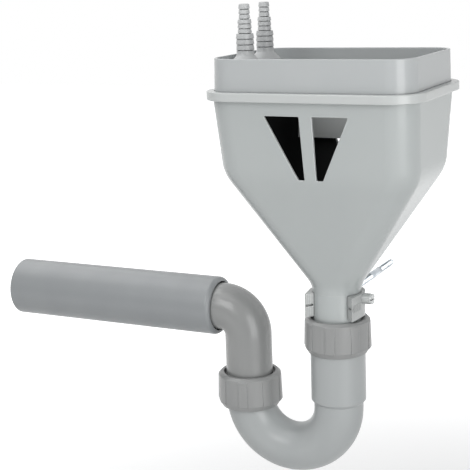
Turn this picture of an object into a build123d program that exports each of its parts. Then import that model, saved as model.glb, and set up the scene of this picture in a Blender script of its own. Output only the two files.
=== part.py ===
"""Wall-hung funnel trap: an oblong drip hopper on a 40 mm U-bend with a 50 mm outlet pipe.

Millimetres, +Z up. The origin is where the axis of the hanger bolt meets the wall face, and +Y
goes into the wall. The outlet pipe leaves towards -X.
"""
from build123d import *
import math
import os

os.makedirs("parts", exist_ok=True)

# Where the legs stand
wall_distance = 104.0  # wall face to the axis of the neck
leg_spacing = 81.8  # axis of the neck to the axis of the outlet leg

# Pipework
pipe_r = 20.0  # outside of the 40 mm spigots
pipe_wall = 2.2
bend_tube_r = 20.5
bend_wall = 2.3
socket_r = 22.8  # outside of the sockets of the bend
socket_thread_r = 23.1
socket_gap = 0.3  # spigot to socket, all round
socket_shoulder = 2.7  # height of the cone from socket to tube
socket_thread_length = 21.0
inlet_socket_foot = 5.0  # centre of the bend up to the cone of the inlet socket
outlet_socket_foot = -6.5
end_gap = 1.5  # end of a spigot to the bottom of its socket
outlet_r = 25.0  # outside of the 50 mm pipe
outlet_wall = 2.0
outlet_length = 204.0
outlet_mouth_r = 21.2  # opening of the rounded pipe end
outlet_end_x = 25.3  # axis of the outlet leg to the rounded pipe end
elbow_radius = 22.3  # centreline of the elbow
elbow_insert = 34.0  # elbow inside the outlet pipe

# Pipe clip and hanger bolt
clip_height = 19.5
clip_drop = 1.5  # middle of the clip below the bolt
clip_band = 2.9
clip_grip = 0.05  # clip to neck, all round
clip_open_angle = 92.0
lip_reach = 5.4  # ends of the clip beyond the band
lip_slot_height = 1.8
lip_slot_depth = 2.5
lip_slot_skin = 0.9  # left beside the slot, inside and outside
clip_rib_count = 7
clip_rib_width = 0.8
clip_rib_proud = 0.35
clip_rib_pitch = 1.9
clip_rib_height = 6.0
boss_r = 8.0
boss_reach = 36.0  # axis of the neck to the end of the boss
lug_r = 4.5
lug_rise = 3.6  # lug above the bolt
lug_reach = 28.8  # axis of the neck to the end of the lug
bolt_r = 3.0
bolt_hole_gap = 0.25
thread_fit = 0.05  # thread to thread, all round
bolt_end = 21.4  # axis of the neck to the end of the machine thread
shank_r = 3.2
shank_length = 24.0
shank_clear = 2.0  # shank to the wall face
wood_thread_length = 30.0
wood_point_length = 6.0
wood_point_r = 0.6
bolt_nut_flats = 10.0
bolt_nut_height = 4.8
bolt_nut_gap = 0.1
screw_r = 2.0
screw_start = 20.3  # axis of the neck to the tip of the screw
screw_head_r = 4.2
screw_head_height = 2.2
screw_slot = 1.0
screw_slot_depth = 1.3

# Slip joints
nut_height = 29.2
nut_open_r = 22.15
nut_top_r = 24.6
nut_top_bevel = 2.0
nut_grip_r = 26.8
nut_draft = 0.3  # grip radius gained from top to bottom
nut_cone = 4.6  # height of the cone below the grip
nut_foot_r = 24.4
nut_roof = 3.0
nut_thread_gap = 0.1
nut_rib_count = 8
nut_rib_angle = 16.0
nut_rib_proud = 0.75
inlet_rib_turn = 8.0  # degrees from the front
outlet_rib_turn = 12.0
thrust_ring_height = 1.5
thrust_ring_gap = 0.15
seal_head = 2.5
seal_head_r = 23.0
seal_cone = 5.0
seal_cone_r = 22.0
seal_tip_r = 20.9
seal_gap = 0.05
neck_to_nut = 2.5  # clip to the inlet nut
nut_step = 56.3  # inlet nut top to the outlet nut top
bend_drop = 78.4  # inlet nut top to the centre of the bend
elbow_rise = 55.0  # outlet nut top to the axis of the outlet pipe

# Hopper
hopper_wall = 2.2
throat_gap = 0.3  # clip to the start of the throat
throat_reach = 5.5  # half the height of the curve above the neck
neck_witness = 0.1
kink_height = 100.0
kink_width = 162.6
kink_depth = 102.0
kink_reach = 8.0
band_height = 159.7  # start of the throat to the underside of the rim
body_width = 167.2
body_depth = 120.6
body_corner = 21.0
rim_height = 6.9
rim_reach = 5.2  # rim beyond the body
rim_skin = 2.2
rim_round = 0.8
seat_height = 2.2  # ledge that carries the collar
seat_gap = 0.3

# Windows, mirrored about the rib and cut through front and back
window_low = 99.0  # above the start of the throat
window_high = 149.0
window_rib_low = 9.4
window_rib_high = 10.4
window_low_half = 10.3
window_high_half = 34.3
window_round = 0.8
window_margin = 1.0  # liner cut back from the windows

# Collar and its tongue
collar_height = 29.8
collar_wall = 2.0
collar_draft = 0.65  # each side, over the height
collar_step = 1.1  # collar inside the body outline, each side
collar_round = 0.6
tongue_width = 100.0
tongue_drop = 44.0  # seat to the end of the tongue
tongue_skin = 1.8
tongue_gap = 4.0  # liner to tongue
tongue_root = 4.0  # height of the root that joins it to the collar

# Splash liner
liner_low = 77.0
liner_high = 152.0
liner_skin = 1.5
liner_gap = 0.3

# Hose nozzles and their bridge
nozzle_x = -66.8
nozzle_spacing = 37.0
bridge_drop = 12.2  # collar rim to the top of the bridge
bridge_skin = 2.5
bridge_skirt = 8.0
bridge_skirt_skin = 2.0
bridge_edge = 0.4  # foot of a nozzle to the free edge
bridge_gap = 0.3
shelf_reach = 3.0
shelf_height = 6.0
shelf_length = 12.0
barb_radii = (7.15, 5.55, 4.45)
barb_heights = (4.4, 3.7, 3.8)
barbs_per_step = 3
barb_bite = 0.75
nozzle_foot_r = 12.4
nozzle_foot_height = 6.5  # cylinder under the cone of the foot
nozzle_shaft_r = 7.0
nozzle_shaft_top = 16.2
nozzle_tip_bore = 2.9
nozzle_bore = 4.2
nozzle_thread_r = 6.9
nozzle_thread_length = 10.0
nozzle_hole_gap = 0.2
nozzle_nut_flats = 19.0
nozzle_nut_height = 5.0

# Outlet seal
lip_seal_inset = 4.5  # pipe end to the seal
lip_seal_length = 12.0
lip_seal_lips = 3
lip_seal_bite = 1.2
lip_seal_land = 2.0  # cylinder at the crest of each lip
lip_seal_gap = 0.05

# Levels and places that follow
neck_y = -wall_distance
outlet_x = -leg_spacing
clip_mid = -clip_drop
clip_top = clip_mid + clip_height / 2
clip_low = clip_mid - clip_height / 2
neck_top = clip_top + throat_gap
inlet_nut_top = clip_low - neck_to_nut
outlet_nut_top = inlet_nut_top - nut_step
bend_z = inlet_nut_top - bend_drop
bend_radius = leg_spacing / 2
outlet_z = outlet_nut_top + elbow_rise
outlet_start_x = outlet_x - outlet_end_x
outlet_far_x = outlet_start_x - outlet_length
joint_drop = nut_roof + thrust_ring_height + seal_head  # nut top to socket top
socket_bore = pipe_r + socket_gap
inlet_socket_top = inlet_nut_top - joint_drop
outlet_socket_top = outlet_nut_top - joint_drop
inlet_ledge = bend_z + inlet_socket_foot + socket_shoulder
spigot_end = inlet_ledge + end_gap
bend_bore = bend_tube_r - bend_wall
elbow_z = outlet_z - elbow_radius
elbow_x = outlet_x - elbow_radius
turn_axis = Axis((-bend_radius, neck_y, bend_z), (0, 1, 0))
outlet_axis = Axis((0, neck_y, outlet_z), (1, 0, 0))
band_z = neck_top + band_height
seat_z = band_z + seat_height
rim_top = band_z + rim_height
collar_top = seat_z + collar_height
bridge_top = collar_top - bridge_drop
clip_bore = pipe_r + clip_grip
clip_r = clip_bore + clip_band
lip_r = clip_r + lip_reach
nut_thread_r = socket_thread_r + nut_thread_gap
collar_width = body_width - 2 * collar_step
collar_depth = body_depth - 2 * collar_step
collar_corner = body_corner - collar_step
bridge_far_x = nozzle_x + nozzle_foot_r + bridge_edge
slip_joints = (
    ("inlet", 0, inlet_nut_top, inlet_rib_turn),
    ("outlet", outlet_x, outlet_nut_top, outlet_rib_turn),
)


def eased(height, corner, value, below, above, reach):
    """Straight line that bends at a corner, rounded over the reach on both sides."""
    step = height - corner
    if step <= -reach:
        return value + below * step
    if step >= reach:
        return value + above * step
    return value + below * step + (above - below) * (step + reach) ** 2 / (4 * reach)


def hopper_half(height, kink_half, body_half):
    """Half width or half depth of the hopper at a height above the start of the throat."""
    neck_half = pipe_r + neck_witness
    cone_slope = (kink_half - neck_half) / (kink_height - throat_reach)
    wall_slope = (body_half - kink_half) / (band_height - kink_height)
    if height < 2 * throat_reach:
        return eased(height, throat_reach, neck_half, 0, cone_slope, throat_reach)
    return eased(height, kink_height, kink_half, cone_slope, wall_slope, kink_reach)


def hopper_outline(height, inset):
    """Rounded section of the hopper, drawn in towards the middle by the inset."""
    half_width = hopper_half(height, kink_width / 2, body_width / 2) - inset
    half_depth = hopper_half(height, kink_depth / 2, body_depth / 2) - inset
    neck_corner = pipe_r + neck_witness / 2
    share = min(height / kink_height, 1)
    corner = neck_corner + (body_corner - neck_corner) * share - inset
    with BuildSketch(Plane((0, neck_y, neck_top + height))) as outline:
        RectangleRounded(2 * half_width, 2 * half_depth, corner)
    return outline.sketch


def hopper_form(low, high, inset, mode=Mode.ADD):
    """Loft the hopper between two heights: smooth at the throat and the kink, straight between."""
    stations = [0, 2 * throat_reach, kink_height - kink_reach, kink_height + kink_reach, band_height]
    curved = [True, False, True, False]
    for start, end, is_curved in zip(stations[:-1], stations[1:], curved):
        bottom = max(start, low)
        top = min(end, high)
        if top <= bottom:
            continue
        steps = 4 if is_curved else 1
        heights = [bottom + (top - bottom) * step / steps for step in range(steps + 1)]
        loft([hopper_outline(height, inset) for height in heights], ruled=not is_curved, mode=mode)


def window_faces(grow=0):
    """The two windows beside the rib, drawn on the XZ plane and grown by a margin."""
    low = neck_top + window_low
    high = neck_top + window_high
    with BuildSketch(Plane.XZ) as windows:
        for side in (-1, 1):
            with BuildLine():
                Polyline(
                    (side * window_rib_high / 2, high),
                    (side * window_high_half, high),
                    (side * window_low_half, low),
                    (side * window_rib_low / 2, low),
                    close=True,
                )
            make_face()
        if grow:
            offset(amount=grow, kind=Kind.INTERSECTION)
        fillet(windows.vertices(), window_round)
    return windows.sketch


def leg_plane(x, turn=0):
    """Upright plane through a leg: local x points out from the leg, local y up."""
    angle = math.radians(turn)
    return Plane(
        (x, neck_y, 0),
        x_dir=(math.cos(angle), math.sin(angle), 0),
        z_dir=(math.sin(angle), -math.cos(angle), 0),
    )


def leg_axis(x):
    """Vertical axis of a leg."""
    return Axis((x, neck_y, 0), (0, 0, 1))


def polar(radius, turn):
    """Point at a radius and at an angle in degrees."""
    angle = math.radians(turn)
    return (radius * math.cos(angle), radius * math.sin(angle))


def ring(plane, axis, points, mode=Mode.ADD, arc=360):
    """Turn a closed outline about an axis."""
    with BuildSketch(plane) as outline:
        with BuildLine():
            Polyline(*points, close=True)
        make_face()
    revolve(outline.sketch, axis=axis, revolution_arc=arc, mode=mode)


def collar_half(full, height):
    """Half size of the collar's outside at a height above its seat."""
    return full / 2 - collar_draft * height / collar_height


def collar_outline(height, inset):
    """Section of the collar at a height above its seat, drawn in by the inset."""
    with BuildSketch(Plane((0, neck_y, seat_z + height))) as outline:
        RectangleRounded(
            2 * (collar_half(collar_width, height) - inset),
            2 * (collar_half(collar_depth, height) - inset),
            collar_corner - inset,
        )
    return outline.sketch


# Hopper with its neck, rim and windows
with BuildPart() as hopper:
    with BuildSketch(Plane((0, neck_y, band_z))):
        RectangleRounded(
            body_width + 2 * rim_reach,
            body_depth + 2 * rim_reach,
            body_corner + rim_reach,
        )
    extrude(amount=rim_height)
    fillet(hopper.faces().filter_by(Axis.Z).edges(), rim_round)
    hopper_form(0, band_height, 0)
    hopper_form(0, band_height, hopper_wall, Mode.SUBTRACT)
    with BuildSketch(Plane((0, neck_y, band_z))):
        RectangleRounded(
            body_width - 2 * hopper_wall,
            body_depth - 2 * hopper_wall,
            body_corner - hopper_wall,
        )
    extrude(amount=rim_height, mode=Mode.SUBTRACT)
    with BuildSketch(Plane((0, neck_y, seat_z))):
        RectangleRounded(
            collar_width + 2 * seat_gap,
            collar_depth + 2 * seat_gap,
            collar_corner + seat_gap,
        )
    extrude(amount=rim_height, mode=Mode.SUBTRACT)
    with BuildSketch(Plane((0, neck_y, band_z))):
        channel_out = rim_reach - rim_skin
        RectangleRounded(
            body_width + 2 * channel_out,
            body_depth + 2 * channel_out,
            body_corner + channel_out,
        )
        channel_in = rim_skin - collar_step + seat_gap
        RectangleRounded(
            body_width + 2 * channel_in,
            body_depth + 2 * channel_in,
            body_corner + channel_in,
            mode=Mode.SUBTRACT,
        )
    extrude(amount=rim_height - rim_skin, mode=Mode.SUBTRACT)
    with BuildSketch(Plane((0, neck_y, spigot_end))):
        Circle(pipe_r)
    extrude(amount=neck_top - spigot_end)
    with BuildSketch(Plane((0, neck_y, spigot_end))):
        Circle(pipe_r - pipe_wall)
    extrude(amount=neck_top - spigot_end, mode=Mode.SUBTRACT)
    extrude(window_faces(), amount=2 * wall_distance, both=True, mode=Mode.SUBTRACT)
hopper.part.label = "hopper"
export_step(hopper.part, "parts/hopper.step")

# Collar that stands in the rim, with the splash tongue at the back and shelves for the bridge
with BuildPart() as collar:
    collar_heights = (0, collar_height)
    loft([collar_outline(height, 0) for height in collar_heights], ruled=True)
    shelf_level = bridge_top - bridge_skin - seat_z
    loft(
        [collar_outline(height, collar_wall) for height in collar_heights],
        ruled=True,
        mode=Mode.SUBTRACT,
    )
    fillet(collar.faces().sort_by(Axis.Z)[-1].edges(), collar_round)
    tongue_slope = (body_depth - kink_depth) / 2 / (band_height - kink_height)
    tongue_stack = hopper_wall + liner_gap + liner_skin + tongue_gap
    tongue_high_y = neck_y + body_depth / 2 - tongue_stack
    tongue_low_y = tongue_high_y - tongue_slope * tongue_drop
    root_y = neck_y + collar_depth / 2 - collar_wall / 2
    with BuildSketch(Plane.YZ.offset(-tongue_width / 2)):
        with BuildLine():
            Polyline(
                (tongue_low_y, seat_z - tongue_drop),
                (tongue_high_y, seat_z),
                (root_y, seat_z),
                (root_y, seat_z + tongue_root),
                (tongue_high_y - tongue_skin, seat_z + tongue_root),
                (tongue_high_y - tongue_skin, seat_z),
                (tongue_low_y - tongue_skin, seat_z - tongue_drop),
                close=True,
            )
        make_face()
    extrude(amount=tongue_width)
    shelf_root = collar_wall / 2
    shelf_span = shelf_reach + shelf_root
    shelf_y = collar_half(collar_depth, shelf_level) - shelf_root
    shelf_x = collar_half(collar_width, shelf_level) - shelf_root
    with BuildSketch(Plane((0, neck_y, bridge_top - bridge_skin))):
        with Locations((nozzle_x, shelf_y)):
            Rectangle(shelf_length, shelf_span, align=(Align.CENTER, Align.MAX))
        with Locations((nozzle_x, -shelf_y)):
            Rectangle(shelf_length, shelf_span, align=(Align.CENTER, Align.MIN))
        with Locations((-shelf_x, 0)):
            Rectangle(shelf_span, shelf_length, align=(Align.MIN, Align.CENTER))
    extrude(amount=-shelf_height)
collar.part.label = "collar"
export_step(collar.part, "parts/collar.step")

# Bridge plate across the end of the collar, with a skirt along its free edge
with BuildPart() as nozzle_bridge:
    bridge_inset = collar_wall + bridge_gap
    bridge_half_width = collar_half(collar_width, bridge_top - seat_z) - bridge_inset
    bridge_half_depth = collar_half(collar_depth, bridge_top - seat_z) - bridge_inset
    with BuildSketch(Plane((0, neck_y, bridge_top))):
        RectangleRounded(
            2 * bridge_half_width,
            2 * bridge_half_depth,
            collar_corner - bridge_inset,
        )
        with Locations((bridge_far_x, 0)):
            Rectangle(
                collar_width,
                collar_depth,
                align=(Align.MAX, Align.CENTER),
                mode=Mode.INTERSECT,
            )
        with Locations((nozzle_x, nozzle_spacing / 2), (nozzle_x, -nozzle_spacing / 2)):
            Circle(nozzle_thread_r + nozzle_hole_gap, mode=Mode.SUBTRACT)
    extrude(amount=-bridge_skin)
    with BuildSketch(Plane((0, neck_y, bridge_top - bridge_skin))):
        with Locations((bridge_far_x, 0)):
            Rectangle(
                bridge_skirt_skin,
                2 * bridge_half_depth,
                align=(Align.MAX, Align.CENTER),
            )
    extrude(amount=-bridge_skirt)
nozzle_bridge.part.label = "nozzle_bridge"
export_step(nozzle_bridge.part, "parts/nozzle_bridge.step")

# Hose nozzles and the nuts that hold them to the bridge
for name, side in (("front", -1), ("rear", 1)):
    nozzle_y = neck_y + side * nozzle_spacing / 2
    nozzle_plane = Plane((nozzle_x, nozzle_y, bridge_top), x_dir=(1, 0, 0), z_dir=(0, -1, 0))
    nozzle_axis = Axis((nozzle_x, nozzle_y, 0), (0, 0, 1))
    outline = [
        (0, -nozzle_thread_length),
        (nozzle_thread_r, -nozzle_thread_length),
        (nozzle_thread_r, 0),
        (nozzle_foot_r, 0),
        (nozzle_foot_r, nozzle_foot_height),
        (nozzle_shaft_r, nozzle_foot_height + nozzle_foot_r - nozzle_shaft_r),
        (nozzle_shaft_r, nozzle_shaft_top),
    ]
    level = nozzle_shaft_top
    for radius, height in zip(barb_radii, barb_heights):
        for barb in range(barbs_per_step):
            outline.append((radius, level))
            level += height
            outline.append((radius - barb_bite, level))
    outline.append((0, level))
    wide_top = nozzle_shaft_top + barbs_per_step * barb_heights[0]
    bore_outline = [
        (0, -nozzle_thread_length),
        (nozzle_bore, -nozzle_thread_length),
        (nozzle_bore, wide_top),
        (nozzle_tip_bore, wide_top + nozzle_bore - nozzle_tip_bore),
        (nozzle_tip_bore, level),
        (0, level),
    ]
    with BuildPart() as hose_nozzle:
        ring(nozzle_plane, nozzle_axis, outline)
        ring(nozzle_plane, nozzle_axis, bore_outline, Mode.SUBTRACT)
    hose_nozzle.part.label = "hose_nozzle_" + name
    export_step(hose_nozzle.part, "parts/hose_nozzle_" + name + ".step")

    with BuildPart() as nozzle_nut:
        with BuildSketch(Plane((nozzle_x, nozzle_y, bridge_top - bridge_skin))):
            RegularPolygon(nozzle_nut_flats / 2, 6, major_radius=False, rotation=30)
            Circle(nozzle_thread_r + thread_fit, mode=Mode.SUBTRACT)
        extrude(amount=-nozzle_nut_height)
    nozzle_nut.part.label = "nozzle_nut_" + name
    export_step(nozzle_nut.part, "parts/nozzle_nut_" + name + ".step")

# Splash liner wedged in the hopper behind the windows
with BuildPart() as splash_liner:
    hopper_form(liner_low, liner_high, hopper_wall + liner_gap)
    hopper_form(liner_low, liner_high, hopper_wall + liner_gap + liner_skin, Mode.SUBTRACT)
    extrude(window_faces(window_margin), amount=2 * wall_distance, both=True, mode=Mode.SUBTRACT)
splash_liner.part.label = "splash_liner"
export_step(splash_liner.part, "parts/splash_liner.step")

# Bend: two sockets joined by a half turn
with BuildPart() as trap_bend:
    with BuildSketch(Plane((0, neck_y, bend_z))):
        Circle(bend_tube_r)
    revolve(axis=turn_axis, revolution_arc=180)
    with BuildSketch(Plane((0, neck_y, bend_z))):
        Circle(bend_tube_r)
    extrude(amount=inlet_socket_foot)
    for x, top, foot in (
        (0, inlet_socket_top, bend_z + inlet_socket_foot),
        (outlet_x, outlet_socket_top, bend_z + outlet_socket_foot),
    ):
        thread_foot = top - socket_thread_length
        outline = [
            (0, top),
            (socket_thread_r, top),
            (socket_thread_r, thread_foot),
            (socket_r, thread_foot - socket_thread_r + socket_r),
            (socket_r, foot + socket_shoulder),
            (bend_tube_r, foot),
            (0, foot),
        ]
        ring(leg_plane(x), leg_axis(x), outline)
    with BuildSketch(Plane((0, neck_y, bend_z))):
        Circle(bend_bore)
    revolve(axis=turn_axis, revolution_arc=180, mode=Mode.SUBTRACT)
    with BuildSketch(Plane((0, neck_y, bend_z))):
        Circle(bend_bore)
    extrude(amount=inlet_ledge - bend_z, mode=Mode.SUBTRACT)
    flare_slope = (seal_cone_r - seal_tip_r) / seal_cone
    flare = (seal_cone_r - socket_bore) / flare_slope
    for x, top, ledge in ((0, inlet_socket_top, inlet_ledge), (outlet_x, outlet_socket_top, bend_z)):
        outline = [
            (0, top),
            (seal_cone_r, top),
            (socket_bore, top - flare),
            (socket_bore, ledge),
            (0, ledge),
        ]
        ring(leg_plane(x), leg_axis(x), outline, Mode.SUBTRACT)
trap_bend.part.label = "trap_bend"
export_step(trap_bend.part, "parts/trap_bend.step")

# Slip joints: union nut, thrust ring and cone seal on each leg
for name, x, nut_top, rib_turn in slip_joints:
    grip_low = nut_top - nut_height + nut_cone
    nut_foot = nut_top - nut_height
    with BuildPart() as union_nut:
        outline = [
            (nut_open_r, nut_top),
            (nut_top_r, nut_top),
            (nut_grip_r, nut_top - nut_top_bevel),
            (nut_grip_r + nut_draft, grip_low),
            (nut_foot_r, nut_foot),
            (nut_thread_r, nut_foot),
            (nut_thread_r, nut_top - nut_roof),
            (nut_open_r, nut_top - nut_roof),
        ]
        ring(leg_plane(x), leg_axis(x), outline)
        rib_root = nut_thread_r + (nut_grip_r - nut_thread_r) / 3
        rib_bevel = nut_top_bevel * (nut_grip_r - rib_root) / (nut_grip_r - nut_top_r)
        rib_outline = [
            (rib_root, nut_top - nut_top_bevel),
            ((nut_top_r + nut_grip_r) / 2, nut_top - nut_top_bevel / 2),
            (nut_grip_r + nut_rib_proud / 2, nut_top - nut_top_bevel - nut_rib_proud),
            (nut_grip_r + nut_draft + nut_rib_proud, grip_low),
            ((nut_grip_r + nut_foot_r) / 2, nut_foot + nut_cone / 2),
            (rib_root, grip_low),
        ]
        for rib in range(nut_rib_count):
            turn = rib_turn - 90 - nut_rib_angle / 2 + 360 * rib / nut_rib_count
            ring(leg_plane(x, turn), leg_axis(x), rib_outline, arc=nut_rib_angle)
    union_nut.part.label = "union_nut_" + name
    export_step(union_nut.part, "parts/union_nut_" + name + ".step")

    ring_top = nut_top - nut_roof
    seal_top = ring_top - thrust_ring_height
    socket_top = seal_top - seal_head
    with BuildPart() as thrust_ring:
        with BuildSketch(Plane((x, neck_y, seal_top))):
            Circle(nut_thread_r - thrust_ring_gap)
            Circle(pipe_r + thrust_ring_gap, mode=Mode.SUBTRACT)
        extrude(amount=thrust_ring_height)
    thrust_ring.part.label = "thrust_ring_" + name
    export_step(thrust_ring.part, "parts/thrust_ring_" + name + ".step")

    with BuildPart() as cone_seal:
        outline = [
            (pipe_r + seal_gap, seal_top),
            (seal_head_r, seal_top),
            (seal_head_r, socket_top),
            (seal_cone_r, socket_top),
            (seal_tip_r, socket_top - seal_cone),
            (pipe_r + seal_gap, socket_top - seal_cone),
        ]
        ring(leg_plane(x), leg_axis(x), outline)
    cone_seal.part.label = "cone_seal_" + name
    export_step(cone_seal.part, "parts/cone_seal_" + name + ".step")

# Elbow from the outlet socket into the outlet pipe
with BuildPart() as outlet_elbow:
    elbow_low = bend_z + end_gap
    elbow_far = outlet_start_x - elbow_insert
    elbow_turn = Axis((elbow_x, neck_y, elbow_z), (0, -1, 0))
    for radius, mode in ((pipe_r, Mode.ADD), (pipe_r - pipe_wall, Mode.SUBTRACT)):
        with BuildSketch(Plane((outlet_x, neck_y, elbow_low))):
            Circle(radius)
        extrude(amount=elbow_z - elbow_low, mode=mode)
        with BuildSketch(Plane((outlet_x, neck_y, elbow_z))):
            Circle(radius)
        revolve(axis=elbow_turn, revolution_arc=90, mode=mode)
        with BuildSketch(Plane((elbow_x, neck_y, outlet_z), z_dir=(-1, 0, 0))):
            Circle(radius)
        extrude(amount=elbow_x - elbow_far, mode=mode)
outlet_elbow.part.label = "outlet_elbow"
export_step(outlet_elbow.part, "parts/outlet_elbow.step")

# Outlet pipe with its rounded end
with BuildPart() as outlet_pipe:
    end_round = outlet_r - outlet_mouth_r
    inner_round = end_round - outlet_wall
    round_x = outlet_start_x - end_round
    inner_r = outlet_r - outlet_wall
    with BuildSketch(Plane((0, neck_y, outlet_z), z_dir=(0, -1, 0), x_dir=(1, 0, 0))):
        with BuildLine():
            Line((outlet_far_x, outlet_r), (round_x, outlet_r))
            CenterArc((round_x, outlet_mouth_r), end_round, 0, 90)
            Line((outlet_start_x, outlet_mouth_r), (round_x + inner_round, outlet_mouth_r))
            CenterArc((round_x, outlet_mouth_r), inner_round, 0, 90)
            Line((round_x, inner_r), (outlet_far_x, inner_r))
            Line((outlet_far_x, inner_r), (outlet_far_x, outlet_r))
        make_face()
    revolve(axis=outlet_axis)
outlet_pipe.part.label = "outlet_pipe"
export_step(outlet_pipe.part, "parts/outlet_pipe.step")

# Lip seal between the elbow and the outlet pipe
with BuildPart() as outlet_seal:
    seal_x = outlet_start_x - lip_seal_inset
    lip_pitch = lip_seal_length / lip_seal_lips
    seal_out = inner_r - lip_seal_gap
    outline = [(seal_x - lip_seal_length, pipe_r + seal_gap), (seal_x, pipe_r + seal_gap)]
    for lip in range(lip_seal_lips):
        lip_x = seal_x - lip * lip_pitch
        outline.append((lip_x, seal_out))
        outline.append((lip_x - lip_seal_land, seal_out))
        outline.append((lip_x - lip_pitch, seal_out - lip_seal_bite))
    ring(Plane((0, neck_y, outlet_z), z_dir=(0, -1, 0), x_dir=(1, 0, 0)), outlet_axis, outline)
outlet_seal.part.label = "outlet_seal"
export_step(outlet_seal.part, "parts/outlet_seal.step")

# Pipe clip: open band whose slotted ends run out in flat ribbed flanks, a boss and a lug
lip_turn = -90 + clip_open_angle / 2
flank_turn = lip_turn + math.degrees(math.acos(clip_r / lip_r))
flank_length = math.sqrt(lip_r**2 - clip_r**2)
clip_sides = ((lip_turn, flank_turn, 1), (180 - lip_turn, 180 - flank_turn, -1))
with BuildPart() as pipe_clip:
    with BuildSketch(Plane((0, neck_y, clip_low))):
        Circle(clip_r)
        for end_turn, side_turn, side in clip_sides:
            with BuildLine():
                Polyline((0, 0), polar(lip_r, end_turn), polar(clip_r, side_turn), close=True)
            make_face()
        with BuildLine():
            mouth = [polar(2 * lip_r, turn) for turn in (lip_turn, -90, 180 - lip_turn)]
            Polyline((0, 0), *mouth, close=True)
        make_face(mode=Mode.SUBTRACT)
    extrude(amount=clip_height)
    for end_turn, side_turn, side in clip_sides:
        radial = Vector(*polar(1, end_turn))
        inward = Vector(*polar(side, end_turn + 90))
        slot_middle = Vector(0, neck_y, clip_mid) + radial * (clip_bore + lip_r) / 2
        with BuildSketch(Plane(slot_middle, x_dir=radial, z_dir=inward)):
            Rectangle(lip_r - clip_bore - 2 * lip_slot_skin, lip_slot_height)
        extrude(amount=lip_slot_depth, mode=Mode.SUBTRACT)
        outward = Vector(*polar(1, side_turn))
        forward = Vector(*polar(side, side_turn - 90))
        flank_middle = outward * clip_r + forward * flank_length / 2
        with BuildSketch(
            Plane(Vector(0, neck_y, clip_mid) + flank_middle, x_dir=forward, z_dir=outward)
        ):
            with GridLocations(clip_rib_pitch, 1, clip_rib_count, 1):
                Rectangle(clip_rib_width, clip_rib_height)
        extrude(amount=clip_rib_proud)
    boss_root = Plane((0, neck_y + clip_bore, 0), x_dir=(1, 0, 0), z_dir=(0, 1, 0))
    with BuildSketch(boss_root):
        Circle(boss_r)
    extrude(amount=boss_reach - clip_bore)
    lug_root = Plane((0, neck_y, lug_rise), x_dir=(0, 1, 0), z_dir=(1, 0, 0))
    with BuildSketch(lug_root):
        Circle(lug_r)
    extrude(amount=lug_reach)
    with BuildSketch(Plane((0, neck_y, clip_low))):
        Circle(clip_bore)
    extrude(amount=clip_height, mode=Mode.SUBTRACT)
    with BuildSketch(boss_root):
        Circle(bolt_r + bolt_hole_gap)
    extrude(amount=boss_reach, mode=Mode.SUBTRACT)
    pocket_depth = bolt_end - clip_bore + bolt_nut_height + bolt_nut_gap
    with BuildSketch(boss_root):
        RegularPolygon(bolt_nut_flats / 2 + bolt_nut_gap, 6, major_radius=False)
    extrude(amount=pocket_depth, mode=Mode.SUBTRACT)
    with BuildSketch(lug_root):
        Circle(screw_r + thread_fit)
    extrude(amount=lug_reach, mode=Mode.SUBTRACT)
pipe_clip.part.label = "pipe_clip"
export_step(pipe_clip.part, "parts/pipe_clip.step")

# Hexagon nut held in the pocket of the boss
with BuildPart() as clip_nut:
    with BuildSketch(Plane((0, neck_y + bolt_end, 0), x_dir=(1, 0, 0), z_dir=(0, 1, 0))):
        RegularPolygon(bolt_nut_flats / 2, 6, major_radius=False)
        Circle(bolt_r + thread_fit, mode=Mode.SUBTRACT)
    extrude(amount=bolt_nut_height)
clip_nut.part.label = "clip_nut"
export_step(clip_nut.part, "parts/clip_nut.step")

# Slotted screw in the lug, its tip against the neck
with BuildPart() as clip_screw:
    with BuildSketch(lug_root.offset(screw_start)):
        Circle(screw_r)
    extrude(amount=lug_reach - screw_start)
    head_plane = lug_root.offset(lug_reach)
    with BuildSketch(head_plane):
        Circle(screw_head_r)
    extrude(amount=screw_head_height)
    with BuildSketch(head_plane.offset(screw_head_height)):
        Rectangle(3 * screw_head_r, screw_slot)
    extrude(amount=-screw_slot_depth, mode=Mode.SUBTRACT)
clip_screw.part.label = "clip_screw"
export_step(clip_screw.part, "parts/clip_screw.step")

# Hanger bolt: machine thread, plain shank, wood thread and point along +Y
with BuildPart() as hanger_bolt:
    shank_start = -shank_clear - shank_length
    outline = [
        (neck_y + bolt_end, 0),
        (neck_y + bolt_end, bolt_r),
        (shank_start, bolt_r),
        (shank_start, shank_r),
        (-shank_clear, shank_r),
        (-shank_clear, bolt_r),
        (wood_thread_length, bolt_r),
        (wood_thread_length + wood_point_length, wood_point_r),
        (wood_thread_length + wood_point_length, 0),
    ]
    ring(Plane.YZ, Axis.Y, outline)
hanger_bolt.part.label = "hanger_bolt"
export_step(hanger_bolt.part, "parts/hanger_bolt.step")
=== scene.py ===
import math
import bpy
import bmesh
from mathutils import Matrix, Vector


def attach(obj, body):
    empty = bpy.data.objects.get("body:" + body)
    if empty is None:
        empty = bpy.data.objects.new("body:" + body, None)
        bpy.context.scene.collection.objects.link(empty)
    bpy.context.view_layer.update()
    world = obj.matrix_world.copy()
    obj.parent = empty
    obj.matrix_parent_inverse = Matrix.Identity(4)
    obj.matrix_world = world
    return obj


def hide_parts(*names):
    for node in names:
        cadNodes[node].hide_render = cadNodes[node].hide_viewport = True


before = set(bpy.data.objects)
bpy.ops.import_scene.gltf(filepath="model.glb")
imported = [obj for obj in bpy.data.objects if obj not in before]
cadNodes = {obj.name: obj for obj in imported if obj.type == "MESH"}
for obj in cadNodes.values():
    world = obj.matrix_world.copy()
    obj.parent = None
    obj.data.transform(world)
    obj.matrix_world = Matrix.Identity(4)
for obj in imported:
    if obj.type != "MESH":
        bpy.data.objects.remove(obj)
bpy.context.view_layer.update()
print("frame loaded:", len(cadNodes), "nodes")

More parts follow.
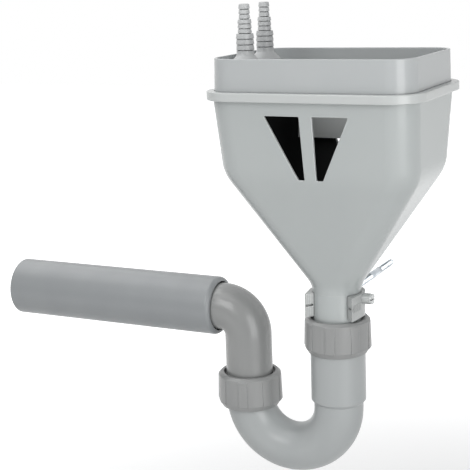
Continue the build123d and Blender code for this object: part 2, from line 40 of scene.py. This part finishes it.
mm = 0.001
neckY = -104 * mm  # axis of the neck, seen from the wall


def addNode(tree, kind, **settings):
    node = tree.nodes.new(kind)
    for key, value in settings.items():
        setattr(node, key, value)
    return node


def wire(tree, *pairs):
    for source, target in pairs:
        tree.links.new(source, target)


def ranged(tree, source, low, high, fromLow=0.0, fromHigh=1.0):
    # Soft step: fromLow gives low, fromHigh gives high
    node = addNode(tree, "ShaderNodeMapRange", interpolation_type="SMOOTHSTEP")
    node.inputs["From Min"].default_value = fromLow
    node.inputs["From Max"].default_value = fromHigh
    node.inputs["To Min"].default_value = low
    node.inputs["To Max"].default_value = high
    tree.links.new(source, node.inputs["Value"])
    return node.outputs["Result"]


def addObject(name, data):
    item = bpy.data.objects.new(name, data)
    bpy.context.scene.collection.objects.link(item)
    return item


# Surroundings: white for what the camera and the gloss see, plain soft light for the rest

stageSpec = {
    "floorLevel": -0.40,
    "floorHalf": 5.0,  # half the floor's side
    "floorTone": (0.80, 0.80, 0.80, 1),
    "glow": (0.22, 0.92),  # under the trap and far away from it
    "glowReach": (0.45, 1.30),  # at these distances from the frame's origin
    "ambient": 0.30,  # plain light from all round
    "ambientTone": (0.97, 0.985, 1.0, 1),
    "white": (1.0, 1.0, 1.0, 1),
}


def seenDirectly(tree):
    # 1 for what is seen or mirrored, 0 for the light that falls on the trap
    lightPath = addNode(tree, "ShaderNodeLightPath")
    first = addNode(tree, "ShaderNodeMath", operation="MAXIMUM")
    both = addNode(tree, "ShaderNodeMath", operation="MAXIMUM")
    wire(
        tree,
        (lightPath.outputs["Is Camera Ray"], first.inputs[0]),
        (lightPath.outputs["Is Glossy Ray"], first.inputs[1]),
        (first.outputs[0], both.inputs[0]),
        (lightPath.outputs["Is Transmission Ray"], both.inputs[1]),
    )
    return both.outputs[0]


def makeSurroundings(spec):
    world = bpy.data.worlds.new("studioWorld")
    bpy.context.scene.world = world
    world.use_nodes = True
    tree = world.node_tree
    tree.nodes.clear()
    soft = addNode(tree, "ShaderNodeBackground")
    soft.inputs["Color"].default_value = spec["ambientTone"]
    soft.inputs["Strength"].default_value = spec["ambient"]
    plain = addNode(tree, "ShaderNodeBackground")
    plain.inputs["Color"].default_value = spec["white"]
    plain.inputs["Strength"].default_value = 1.0
    pick = addNode(tree, "ShaderNodeMixShader")
    out = addNode(tree, "ShaderNodeOutputWorld")
    wire(
        tree,
        (seenDirectly(tree), pick.inputs[0]),
        (soft.outputs[0], pick.inputs[1]),
        (plain.outputs[0], pick.inputs[2]),
        (pick.outputs[0], out.inputs["Surface"]),
    )


def makeFloor(spec):
    half = spec["floorHalf"]
    level = spec["floorLevel"]
    mesh = bpy.data.meshes.new("studioFloor")
    corners = [(x * half, y * half, level) for x, y in ((-1, -1), (1, -1), (1, 1), (-1, 1))]
    mesh.from_pydata(corners, [], [(0, 1, 2, 3)])
    floor = addObject("studioFloor", mesh)
    material = bpy.data.materials.new("floorPaper")
    material.use_nodes = True
    tree = material.node_tree
    tree.nodes.clear()
    paper = addNode(tree, "ShaderNodeBsdfDiffuse")
    paper.inputs["Color"].default_value = spec["floorTone"]
    glow = addNode(tree, "ShaderNodeEmission")
    glow.inputs["Color"].default_value = spec["white"]
    place = addNode(tree, "ShaderNodeTexCoord")
    away = addNode(tree, "ShaderNodeVectorMath", operation="LENGTH")
    strength = addNode(tree, "ShaderNodeMath", operation="MULTIPLY")
    byPlace = ranged(tree, away.outputs["Value"], *spec["glow"], *spec["glowReach"])
    both = addNode(tree, "ShaderNodeAddShader")
    out = addNode(tree, "ShaderNodeOutputMaterial")
    wire(
        tree,
        (place.outputs["Object"], away.inputs[0]),
        (seenDirectly(tree), strength.inputs[0]),
        (byPlace, strength.inputs[1]),
        (strength.outputs[0], glow.inputs["Strength"]),
        (paper.outputs[0], both.inputs[0]),
        (glow.outputs[0], both.inputs[1]),
        (both.outputs[0], out.inputs["Surface"]),
    )
    mesh.materials.append(material)


makeSurroundings(stageSpec)
makeFloor(stageSpec)
print("surroundings made")


# Soft boxes, placed by their turn about the trap (0 is straight in front), their rise and reach

softBoxes = {
    "keyBox": {"turn": 53, "rise": 0, "reach": 1.1, "size": (0.66, 0.96), "power": 7.0,
               "aim": (0.03, -0.13, 0.16)},
    "frontBox": {"turn": -12, "rise": 33, "reach": 2.4, "size": (1.2, 1.2), "power": 18.0},
    "leftBox": {"turn": -50, "rise": 55, "reach": 2.4, "size": (1.2, 1.2), "power": 5.0},
    "pipeBox": {"turn": -90, "rise": 55, "reach": 2.2, "size": (1.2, 1.2), "power": 9.8},
    "topBox": {"turn": 0, "rise": 72, "reach": 2.2, "size": (1.2, 1.2), "power": 3.8},
    "rimBox": {"turn": 125, "rise": 12, "reach": 2.4, "size": (1.2, 1.2), "power": 1.2},
    "backBox": {"turn": 235, "rise": 40, "reach": 2.4, "size": (1.2, 1.2), "power": 6.5},
}
trapMiddle = (-0.05, neckY, 0.04)


def addSoftBox(name, spec):
    turn = math.radians(spec["turn"])
    rise = math.radians(spec["rise"])
    way = Vector((
        math.sin(turn) * math.cos(rise),
        -math.cos(turn) * math.cos(rise),
        math.sin(rise),
    ))
    lamp = bpy.data.lights.new(name, "AREA")
    lamp.shape = "RECTANGLE"
    lamp.size, lamp.size_y = spec["size"]
    lamp.energy = spec["power"]
    box = addObject(name, lamp)
    box.location = Vector(spec.get("aim", trapMiddle)) + way * spec["reach"]
    box.rotation_euler = (-way).to_track_quat("-Z", "Y").to_euler()
    box.visible_camera = False


for name, spec in softBoxes.items():
    addSoftBox(name, spec)
print("soft boxes hung:", len(softBoxes))


# Camera: placed by its turn about the trap, its tilt and its slight roll

cameraSpec = {
    "target": (-0.091245, neckY, 0.048251),
    "distance": 1.001604,
    "turn": 26.717,
    "tilt": 12.761,
    "roll": -2.086,
    "lens": 91.09,
    "sensor": 36,
    "nearest": 0.05,
}


def placeCamera(spec):
    turn = math.radians(spec["turn"])
    tilt = math.radians(spec["tilt"])
    roll = math.radians(spec["roll"])
    back = Vector((
        math.sin(turn) * math.cos(tilt),
        -math.cos(turn) * math.cos(tilt),
        math.sin(tilt),
    ))
    level = Vector((0, 0, 1)).cross(back).normalized()
    upright = back.cross(level)
    right = level * math.cos(roll) + upright * math.sin(roll)
    up = upright * math.cos(roll) - level * math.sin(roll)
    lens = bpy.data.cameras.new("trapCamera")
    lens.sensor_width = spec["sensor"]
    lens.lens = spec["lens"]
    lens.clip_start = spec["nearest"]
    camera = addObject("trapCamera", lens)
    turned = Matrix((right, up, back)).transposed().to_4x4()
    place = Vector(spec["target"]) + back * spec["distance"]
    camera.matrix_world = Matrix.Translation(place) @ turned
    bpy.context.scene.camera = camera


placeCamera(cameraSpec)
bpy.context.scene.view_settings.view_transform = "Standard"
print("camera placed")


# Finishes: one recipe for moulded plastic, one for plated steel, one for rubber.
# Lengths in mm; drift, streak and grain are the scales of the tone, the flow marks and the surface.
# A plastic's rough range stays on one side of 0.274, where the denoiser would draw a line.

# Each plastic's edge tone is a painted highlight along its edges.
# The groove tone is painted shade in grooves and corners, and on the clip also the colour of its
# moulded grid lines.
plasticSpec = {
    "hopperGrey": {
        "tone": (0.420, 0.444, 0.439), "shade": (0.400, 0.424, 0.422), "edge": (0.90, 0.92, 0.92),
        "rough": (0.22, 0.27), "drift": 9, "streak": 26, "grain": 1500, "depth": 0.02,
        "band": (0.1672, 0.1686), "bandTone": (0.510, 0.528, 0.522),  # the rim, painted paler for the light that falls on it
        "edgeRadius": 1.0, "edgeHighlightShare": 0.8, "paintedShade": 0.8, "cavityReach": 1.6,
        "groove": (0.06, 0.065, 0.07),
    },
    "collarGrey": {
        "tone": (0.450, 0.467, 0.470), "shade": (0.430, 0.448, 0.452), "edge": (0.76, 0.78, 0.78),
        "rough": (0.20, 0.27), "drift": 9, "streak": 34, "grain": 1500, "depth": 0.02,
        "band": (0.1702, 0.1688), "bandTone": (0.570, 0.585, 0.580),  # the tongue below the seat, painted paler for the light that reaches it
        "edgeRadius": 0.7, "edgeHighlightShare": 0.8, "paintedShade": 0.8, "cavityReach": 1.6,
        "groove": (0.06, 0.065, 0.07),
    },
    "nozzleGrey": {
        "tone": (0.56, 0.57, 0.57), "shade": (0.48, 0.49, 0.495), "edge": (0.68, 0.69, 0.69),
        "rough": (0.30, 0.42), "drift": 30, "streak": 60, "grain": 1800, "depth": 0.02,
        "edgeHighlightShare": 0.5, "paintedShade": 1.0, "cavityReach": 0.8,
        "groove": (0.03, 0.033, 0.035),
    },
    "clipGrey": {
        "tone": (0.540, 0.555, 0.545), "shade": (0.480, 0.495, 0.488), "edge": (0.72, 0.74, 0.73),
        "rough": (0.28, 0.36), "drift": 20, "streak": 60, "grain": 1500, "depth": 0.02,
        "edgeHighlightShare": 0.5, "paintedShade": 0.8, "cavityReach": 1.2, "grid": (290, 0.40),
        "groove": (0.06, 0.065, 0.07),
    },
    "bendGrey": {
        "tone": (0.375, 0.391, 0.391), "shade": (0.345, 0.362, 0.364), "edge": (0.55, 0.57, 0.56),
        "rough": (0.28, 0.35), "drift": 12, "streak": 30, "grain": 1500, "depth": 0.02,
        "edgeHighlightShare": 0.4, "paintedShade": 0.35, "cavityReach": 1.5,
        "groove": (0.10, 0.11, 0.115),
    },
    "nutGrey": {
        "tone": (0.279, 0.283, 0.280), "shade": (0.247, 0.251, 0.250), "edge": (0.46, 0.47, 0.47),
        "rough": (0.29, 0.37), "drift": 25, "streak": 70, "grain": 1300, "depth": 0.04,
        "edgeHighlightShare": 0.6, "paintedShade": 0.4, "cavityReach": 1.2,
        "groove": (0.06, 0.065, 0.07),
    },
    "pipeGrey": {
        "tone": (0.266, 0.279, 0.286), "shade": (0.240, 0.252, 0.260), "edge": (0.45, 0.46, 0.46),
        "rough": (0.28, 0.38), "drift": 8, "streak": 40, "grain": 1400, "depth": 0.02,
        "edgeHighlightShare": 0.4, "paintedShade": 0.3, "cavityReach": 1.5,
        "groove": (0.10, 0.11, 0.115),
    },
    "elbowGrey": {
        "tone": (0.268, 0.272, 0.268), "shade": (0.236, 0.241, 0.239), "edge": (0.46, 0.46, 0.46),
        "rough": (0.20, 0.27), "drift": 14, "streak": 46, "grain": 1400, "depth": 0.02,
        "edgeHighlightShare": 0.4, "paintedShade": 0.3, "cavityReach": 1.5,
        "groove": (0.10, 0.11, 0.115),
    },
    "linerBlack": {
        "tone": (0.0230, 0.0230, 0.0235), "shade": (0.0185, 0.0185, 0.0190),
        "edge": (0.03, 0.03, 0.03),
        "rough": (0.80, 0.92), "drift": 20, "streak": 30, "grain": 1200, "depth": 0.04,
        "gloss": 0.12, "edgeHighlightShare": 0.3, "paintedShade": 0.2, "cavityReach": 1.5,
        "groove": (0.004, 0.004, 0.004),
    },
}

surfaceSpec = {
    "edgeRadius": 0.5, "gloss": 0.5, "ior": 1.49,
    "toneSpread": (0.15, 0.85), "roughSpread": (0.2, 0.8),
    "streakShare": 0.5, "streakDetail": 4, "streakStretch": (1.0, 1.0, 0.18),
    "grainDetail": 2, "grainStrength": 0.35,
    "edgeMatch": (0.80, 0.995), "edgeSamples": 6,
    "cavityOpen": (0.25, 0.85), "cavitySamples": 6,
    "gridWave": (0.5, 1.0),
}


def softMix(tree, share, first, second):
    mix = addNode(tree, "ShaderNodeMix", data_type="RGBA")
    for socket, value in ((mix.inputs[6], first), (mix.inputs[7], second)):  # its two colours
        if isinstance(value, bpy.types.NodeSocket):
            tree.links.new(value, socket)
        else:
            socket.default_value = (*value, 1)
    tree.links.new(share, mix.inputs[0])
    return mix.outputs[2]


def cloud(tree, place, scale, detail=3, stretch=None):
    source = place.outputs["Object"]
    if stretch:
        mapping = addNode(tree, "ShaderNodeMapping")
        mapping.inputs["Scale"].default_value = stretch
        tree.links.new(source, mapping.inputs["Vector"])
        source = mapping.outputs["Vector"]
    noise = addNode(tree, "ShaderNodeTexNoise")
    noise.inputs["Scale"].default_value = scale
    noise.inputs["Detail"].default_value = detail
    tree.links.new(source, noise.inputs["Vector"])
    return noise.outputs["Fac"]


def roundedEdge(tree, radius):
    # The share of an edge at a point, and the normal that rounds it
    bevel = addNode(tree, "ShaderNodeBevel", samples=surfaceSpec["edgeSamples"])
    bevel.inputs["Radius"].default_value = radius
    flat = addNode(tree, "ShaderNodeNewGeometry")
    match = addNode(tree, "ShaderNodeVectorMath", operation="DOT_PRODUCT")
    wire(
        tree,
        (bevel.outputs["Normal"], match.inputs[0]),
        (flat.outputs["Normal"], match.inputs[1]),
    )
    share = ranged(tree, match.outputs["Value"], 1.0, 0.0, *surfaceSpec["edgeMatch"])
    return share, bevel.outputs["Normal"]


def paintedShadeShare(tree, spec):
    # Painted shade: how far a point lies in a groove or corner, as the share of its colour darkened
    # there
    hollow = addNode(tree, "ShaderNodeAmbientOcclusion", samples=surfaceSpec["cavitySamples"])
    hollow.inputs["Distance"].default_value = spec["cavityReach"] * mm
    return ranged(tree, hollow.outputs["AO"], spec["paintedShade"], 0.0, *surfaceSpec["cavityOpen"])


def gridShare(tree, place, scale, strength):
    # Fine moulded grid, in lines along and across
    lines = addNode(tree, "ShaderNodeMath", operation="MAXIMUM")
    for slot, way in enumerate("YZ"):
        wave = addNode(tree, "ShaderNodeTexWave", bands_direction=way)
        wave.inputs["Scale"].default_value = scale
        wire(
            tree,
            (place.outputs["Object"], wave.inputs["Vector"]),
            (wave.outputs["Fac"], lines.inputs[slot]),
        )
    return ranged(tree, lines.outputs[0], 0.0, strength, *surfaceSpec["gridWave"])


def grainBump(tree, height, normal, strength, depth):
    bump = addNode(tree, "ShaderNodeBump")
    bump.inputs["Strength"].default_value = strength
    bump.inputs["Distance"].default_value = depth * mm
    tree.links.new(height, bump.inputs["Height"])
    if normal:
        tree.links.new(normal, bump.inputs["Normal"])
    return bump.outputs["Normal"]


def startMaterial(name):
    material = bpy.data.materials.new(name)
    material.use_nodes = True
    tree = material.node_tree
    tree.nodes.clear()
    out = addNode(tree, "ShaderNodeOutputMaterial")
    shader = addNode(tree, "ShaderNodeBsdfPrincipled")
    place = addNode(tree, "ShaderNodeTexCoord")
    tree.links.new(shader.outputs[0], out.inputs["Surface"])
    return material, tree, shader, place


def mouldedPlastic(name, spec):
    material, tree, shader, place = startMaterial(name)
    shared = surfaceSpec
    drift = cloud(tree, place, spec["drift"])
    streak = cloud(tree, place, spec["streak"], shared["streakDetail"], shared["streakStretch"])
    grain = cloud(tree, place, spec["grain"], shared["grainDetail"])
    edge, rounded = roundedEdge(tree, spec.get("edgeRadius", shared["edgeRadius"]) * mm)
    blend = addNode(tree, "ShaderNodeMath", operation="MULTIPLY_ADD")
    blend.inputs[1].default_value = 1 - shared["streakShare"]
    wire(
        tree,
        (drift, blend.inputs[0]),
        (ranged(tree, streak, 0.0, shared["streakShare"]), blend.inputs[2]),
    )
    patch = ranged(tree, blend.outputs[0], 0, 1, *shared["toneSpread"])
    colour = softMix(tree, patch, spec["tone"], spec["shade"])
    # Painted light: a paler tone over the rim or the tongue, for the light that falls there
    if "band" in spec:
        height = addNode(tree, "ShaderNodeSeparateXYZ")
        tree.links.new(place.outputs["Object"], height.inputs[0])
        inPaintedLight = ranged(tree, height.outputs["Z"], 0, 1, *spec["band"])
        colour = softMix(tree, inPaintedLight, colour, spec["bandTone"])
    if "grid" in spec:
        colour = softMix(tree, gridShare(tree, place, *spec["grid"]), colour, spec["groove"])
    # Painted highlight: edges mixed towards the pale edge tone
    paintedHighlight = addNode(tree, "ShaderNodeMath", operation="MULTIPLY")
    paintedHighlight.inputs[1].default_value = spec["edgeHighlightShare"]
    tree.links.new(edge, paintedHighlight.inputs[0])
    colour = softMix(tree, paintedHighlight.outputs[0], colour, spec["edge"])
    # Painted shade: grooves and corners mixed towards the dark groove tone
    colour = softMix(tree, paintedShadeShare(tree, spec), colour, spec["groove"])
    wire(
        tree,
        (colour, shader.inputs["Base Color"]),
        (ranged(tree, streak, *spec["rough"], *shared["roughSpread"]), shader.inputs["Roughness"]),
        (grainBump(tree, grain, rounded, shared["grainStrength"], spec["depth"]),
         shader.inputs["Normal"]),
    )
    shader.inputs["IOR"].default_value = shared["ior"]
    shader.inputs["Specular IOR Level"].default_value = spec.get("gloss", shared["gloss"])
    return material


finishes = {name: mouldedPlastic(name, spec) for name, spec in plasticSpec.items()}
print("plastics mixed:", len(finishes))


# The steel's groove tone is painted shade in thread roots and hollows.
steelSpec = {
    "bright": (0.66, 0.70, 0.73), "dull": (0.46, 0.50, 0.54),
    "patch": 90, "patchDetail": 4, "patchSpread": (0.35, 0.65),
    "scratch": 500, "scratchDetail": 3, "scratchStretch": (1.0, 0.12, 1.0),
    "rough": (0.18, 0.30), "roughSpread": (0.3, 0.7), "strength": 0.3, "depth": 0.02,
    "edgeRadius": 0.15, "groove": (0.05, 0.055, 0.06), "paintedShade": 0.9, "cavityReach": 0.8,
}


def platedSteel(name, spec):
    material, tree, shader, place = startMaterial(name)
    patch = cloud(tree, place, spec["patch"], spec["patchDetail"])
    scratch = cloud(tree, place, spec["scratch"], spec["scratchDetail"], spec["scratchStretch"])
    rounded = roundedEdge(tree, spec["edgeRadius"] * mm)[1]
    dulled = ranged(tree, patch, 0, 1, *spec["patchSpread"])
    colour = softMix(tree, dulled, spec["bright"], spec["dull"])
    # Painted shade: thread roots and hollows mixed towards the dark groove tone
    colour = softMix(tree, paintedShadeShare(tree, spec), colour, spec["groove"])
    wire(
        tree,
        (colour, shader.inputs["Base Color"]),
        (ranged(tree, scratch, *spec["rough"], *spec["roughSpread"]), shader.inputs["Roughness"]),
        (grainBump(tree, scratch, rounded, spec["strength"], spec["depth"]),
         shader.inputs["Normal"]),
    )
    shader.inputs["Metallic"].default_value = 1.0
    return material


rubberSpec = {
    "tone": (0.020, 0.020, 0.022), "bloomTone": (0.034, 0.034, 0.036),
    "bloom": 60, "bloomDetail": 4, "bloomSpread": (0.35, 0.65),
    "grain": 1600, "grainDetail": 2, "strength": 0.4, "depth": 0.05,
    "rough": (0.55, 0.72), "roughSpread": (0.3, 0.7),
}


def sealRubber(name, spec):
    material, tree, shader, place = startMaterial(name)
    bloom = cloud(tree, place, spec["bloom"], spec["bloomDetail"])
    grain = cloud(tree, place, spec["grain"], spec["grainDetail"])
    bloomed = ranged(tree, bloom, 0, 1, *spec["bloomSpread"])
    wire(
        tree,
        (softMix(tree, bloomed, spec["tone"], spec["bloomTone"]), shader.inputs["Base Color"]),
        (ranged(tree, grain, *spec["rough"], *spec["roughSpread"]), shader.inputs["Roughness"]),
        (grainBump(tree, grain, None, spec["strength"], spec["depth"]), shader.inputs["Normal"]),
    )
    return material


finishes["zincSteel"] = platedSteel("zincSteel", steelSpec)
finishes["sealRubber"] = sealRubber("sealRubber", rubberSpec)


# Each node of the frame gets the finish of the real piece

nodeFinish = {
    "hopper": "hopperGrey",
    "collar": "collarGrey",
    "nozzle_bridge": "collarGrey",
    "hose_nozzle_front": "nozzleGrey",
    "hose_nozzle_rear": "nozzleGrey",
    "nozzle_nut_front": "nozzleGrey",
    "nozzle_nut_rear": "nozzleGrey",
    "splash_liner": "linerBlack",
    "trap_bend": "bendGrey",
    "union_nut_inlet": "nutGrey",
    "union_nut_outlet": "nutGrey",
    "thrust_ring_inlet": "nutGrey",
    "thrust_ring_outlet": "nutGrey",
    "cone_seal_inlet": "sealRubber",
    "cone_seal_outlet": "sealRubber",
    "outlet_elbow": "elbowGrey",
    "outlet_pipe": "pipeGrey",
    "outlet_seal": "sealRubber",
    "pipe_clip": "clipGrey",
    "clip_nut": "zincSteel",
    "clip_screw": "collarGrey",
    "hanger_bolt": "zincSteel",
}


def dressNode(node, finish):
    mesh = cadNodes[node].data
    mesh.materials.clear()
    mesh.materials.append(finishes[finish])


for node, finish in nodeFinish.items():
    dressNode(node, finish)
print("nodes dressed:", len(nodeFinish))


# Collar with the ends of its shelves flush with the rounded corners, in mm

collarSpec = {
    "low": 179.0, "high": 186.0,  # the shelves lie between these levels
    "seat": 170.45, "height": 29.8, "draft": 0.65,  # it narrows by the draft over its height
    "halfWidth": 82.5, "halfDepth": 59.2, "corner": 19.9,
    "proud": 0.3,  # what stands out further than this is pressed back
}


def makeCollar(spec):
    data = cadNodes["collar"].data.copy()
    normals = [corner.vector.copy() for corner in data.corner_normals]
    pressed = {}  # moved points, and whether they are in front (-1) or at the rear (1)
    for vert in data.vertices:
        x, y, z = vert.co / mm
        if not spec["low"] < z < spec["high"]:
            continue
        drawn = spec["draft"] * (z - spec["seat"]) / spec["height"]
        side = 1 if y > neckY / mm else -1
        across = -x - (spec["halfWidth"] - drawn - spec["corner"])
        along = side * (y - neckY / mm) - (spec["halfDepth"] - drawn - spec["corner"])
        reach = math.hypot(across, along)
        if min(across, along) < 0 or reach < spec["corner"] + spec["proud"]:
            continue
        flush = math.sqrt(spec["corner"] ** 2 - across ** 2)
        vert.co.y += side * (flush - along) * mm
        pressed[vert.index] = side
    for face in data.polygons:
        sides = [pressed[i] for i in face.vertices if i in pressed]
        if not sides:
            continue
        for loop in face.loop_indices:
            place = data.vertices[data.loops[loop].vertex_index].co / mm
            across = -place.x - (spec["halfWidth"] - spec["corner"])
            along = sides[0] * (place.y - neckY / mm) - (spec["halfDepth"] - spec["corner"])
            normals[loop] = Vector((-across, sides[0] * along, 0)).normalized()
    data.normals_split_custom_set(normals)
    collar = addObject("splashCollar", data)
    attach(collar, "root")
    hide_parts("collar")


makeCollar(collarSpec)
print("collar pressed flush")


def joinRings(mesh, one, two):
    for i in range(len(one)):
        j = (i + 1) % len(one)
        mesh.faces.new((one[i], one[j], two[j], two[i]))


# Hanger bolt with its two threads, in place of the plain one, in mm along +Y

boltSpec = {
    "start": -82.6, "shankStart": -26.0, "shankEnd": -2.0, "tip": 36.0,
    "crest": 3.0, "root": 2.42, "pitch": 1.0, "rootFlat": 0.12, "flank": 0.76, "rows": 620,
    "shank": 3.2, "shankEase": 0.5, "seam": 0.01,
    "woodCrest": 3.0, "woodRoot": 2.05, "woodPitch": 2.7, "woodFlank": 0.26, "woodRows": 300,
    "pointLength": 8.0, "pointRadius": 0.35, "pointEase": 0.02,
    "around": 40,
}


def machineRadius(along, share, spec):
    phase = (along / spec["pitch"] - share) % 1
    height = min(max((abs(phase - 0.5) * 2 - spec["rootFlat"]) / spec["flank"], 0), 1)
    return spec["root"] + (spec["crest"] - spec["root"]) * height


def woodRadius(along, share, spec):
    phase = (along / spec["woodPitch"] - share) % 1
    height = max(1 - abs(phase - 0.5) / spec["woodFlank"], 0)
    taper = min((spec["tip"] - along) / spec["pointLength"], 1)
    radius = spec["woodRoot"] + (spec["woodCrest"] - spec["woodRoot"]) * height
    return spec["pointRadius"] + (radius - spec["pointRadius"]) * taper


def makeBolt(spec):
    def steps(first, last, count):
        return [first + (last - first) * i / count for i in range(count + 1)]

    rows = []  # distance along the bolt and the radius at each share of a turn
    around = spec["around"]
    for along in steps(spec["start"], spec["shankStart"], spec["rows"]):
        rows.append((along, lambda share, y=along: machineRadius(y, share, spec)))
    ease, seam = spec["shankEase"], spec["seam"]
    for along, radius in (
        (spec["shankStart"] + seam, spec["shank"] - ease / 2),
        (spec["shankStart"] + ease, spec["shank"]),
        (spec["shankEnd"] - ease, spec["shank"]),
        (spec["shankEnd"] - seam, spec["shank"] - ease / 2),
    ):
        rows.append((along, lambda share, r=radius: r))
    for along in steps(spec["shankEnd"], spec["tip"] - spec["pointEase"], spec["woodRows"]):
        rows.append((along, lambda share, y=along: woodRadius(y, share, spec)))
    mesh = bmesh.new()
    rings = []
    for along, radiusAt in rows:
        ring = []
        for i in range(around):
            share = i / around
            radius = radiusAt(share)
            angle = 2 * math.pi * share
            ring.append(mesh.verts.new((
                radius * math.sin(angle) * mm,
                along * mm,
                radius * math.cos(angle) * mm,
            )))
        rings.append(ring)
    for one, two in zip(rings, rings[1:]):
        joinRings(mesh, one, two)
    mesh.faces.new(list(reversed(rings[0])))
    mesh.faces.new(rings[-1])
    bmesh.ops.recalc_face_normals(mesh, faces=mesh.faces)
    data = bpy.data.meshes.new("hangerBolt")
    mesh.to_mesh(data)
    mesh.free()
    for face in data.polygons:
        face.use_smooth = len(face.vertices) == 4
    bolt = addObject("hangerBolt", data)
    data.materials.append(finishes["zincSteel"])
    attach(bolt, "root")
    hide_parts("hanger_bolt")


makeBolt(boltSpec)
print("hanger bolt cut")


# Hose nozzles, in mm: three barbs on each of three steps, with a groove under every barb

nozzleSpec = {
    "x": -66.8, "spacing": 37.0, "low": 178.05, "foot": 188.05,
    "thread": 6.9, "threadPitch": 1.5, "threadDepth": 0.6, "threadStart": 0.3,
    "footRadius": 12.4, "footHeight": 6.5, "footEase": 0.5, "footRound": (0.35, 0.25),
    "flareEase": 0.4,
    "shaft": 7.0, "shaftTop": 204.25,
    "steps": ((7.15, 4.4), (5.55, 3.7), (4.45, 3.8)), "perStep": 3,  # radius and height of a barb
    "flare": 0.45, "groove": 0.85, "grooveHeight": 0.55, "lip": 0.15, "land": 0.9,
    "grooveFloor": (0.05, 0.02), "tipRound": (0.3, 0.25),
    "bore": 4.2, "tipBore": 2.9, "around": 80, "sharpAngle": 35,
}


def nozzleProfile(spec):
    # Radius and level of each turned edge, from the bore's lower end round to its upper end
    threadRoot = spec["thread"] - spec["threadDepth"]
    points = [(spec["bore"], spec["low"]), (threadRoot, spec["low"])]
    level = spec["low"] + spec["threadStart"]
    while level + spec["threadPitch"] < spec["foot"]:
        points.append((threadRoot, level))
        points.append((spec["thread"], level + spec["threadPitch"] / 2))
        level += spec["threadPitch"]
    points += [(threadRoot, level), (threadRoot, spec["foot"])]
    wide, ease = spec["footRadius"], spec["footEase"]
    shoulder = spec["foot"] + spec["footHeight"]
    shaft, flare = spec["shaft"], spec["flareEase"]
    neck = shoulder + wide - shaft  # the foot runs up to the shaft at 45 degrees
    roundIn, roundUp = spec["footRound"]
    points += [
        (wide - ease, spec["foot"]), (wide, spec["foot"] + ease),
        (wide, shoulder - ease), (wide - roundIn, shoulder + roundUp),
        (shaft + flare, neck - flare / 2), (shaft, neck + ease),
        (shaft, spec["shaftTop"] - spec["grooveHeight"]),
    ]
    base = spec["shaftTop"]
    floorLow, floorHigh = spec["grooveFloor"]
    for radius, height in spec["steps"]:
        for _ in range(spec["perStep"]):
            deep = radius - spec["groove"]
            points += [
                (deep, base - spec["grooveHeight"] + floorLow), (deep, base - floorHigh),
                (radius - spec["lip"], base), (radius, base + spec["lip"]),
                (radius, base + spec["land"]),
                (radius - spec["flare"], base + height - spec["grooveHeight"]),
            ]
            base += height
    tipIn, tipDown = spec["tipRound"]
    tip = points[-1][0]
    points[-1] = (tip, base - tipDown)
    points += [(tip - tipIn, base), (spec["tipBore"], base)]
    narrows = spec["shaftTop"] + spec["perStep"] * spec["steps"][0][1]
    points += [
        (spec["tipBore"], narrows + spec["bore"] - spec["tipBore"]),
        (spec["bore"], narrows),
    ]
    return points


def makeNozzle(name, side, node, spec):
    mesh = bmesh.new()
    middle = neckY / mm + side * spec["spacing"] / 2
    rings = []
    for radius, level in nozzleProfile(spec):
        ring = []
        for i in range(spec["around"]):
            angle = 2 * math.pi * i / spec["around"]
            ring.append(mesh.verts.new((
                (spec["x"] + radius * math.cos(angle)) * mm,
                (middle + radius * math.sin(angle)) * mm,
                level * mm,
            )))
        rings.append(ring)
    for one, two in zip(rings, rings[1:] + rings[:1]):
        joinRings(mesh, one, two)
    bmesh.ops.recalc_face_normals(mesh, faces=mesh.faces)
    for edge in mesh.edges:
        edge.smooth = edge.calc_face_angle(0) < math.radians(spec["sharpAngle"])
    for face in mesh.faces:
        face.smooth = True
    data = bpy.data.meshes.new(name)
    mesh.to_mesh(data)
    mesh.free()
    nozzle = addObject(name, data)
    data.materials.append(finishes["nozzleGrey"])
    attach(nozzle, "root")
    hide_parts(node)


makeNozzle("hoseNozzleFront", -1, "hose_nozzle_front", nozzleSpec)
makeNozzle("hoseNozzleRear", 1, "hose_nozzle_rear", nozzleSpec)
print("hose nozzles turned")
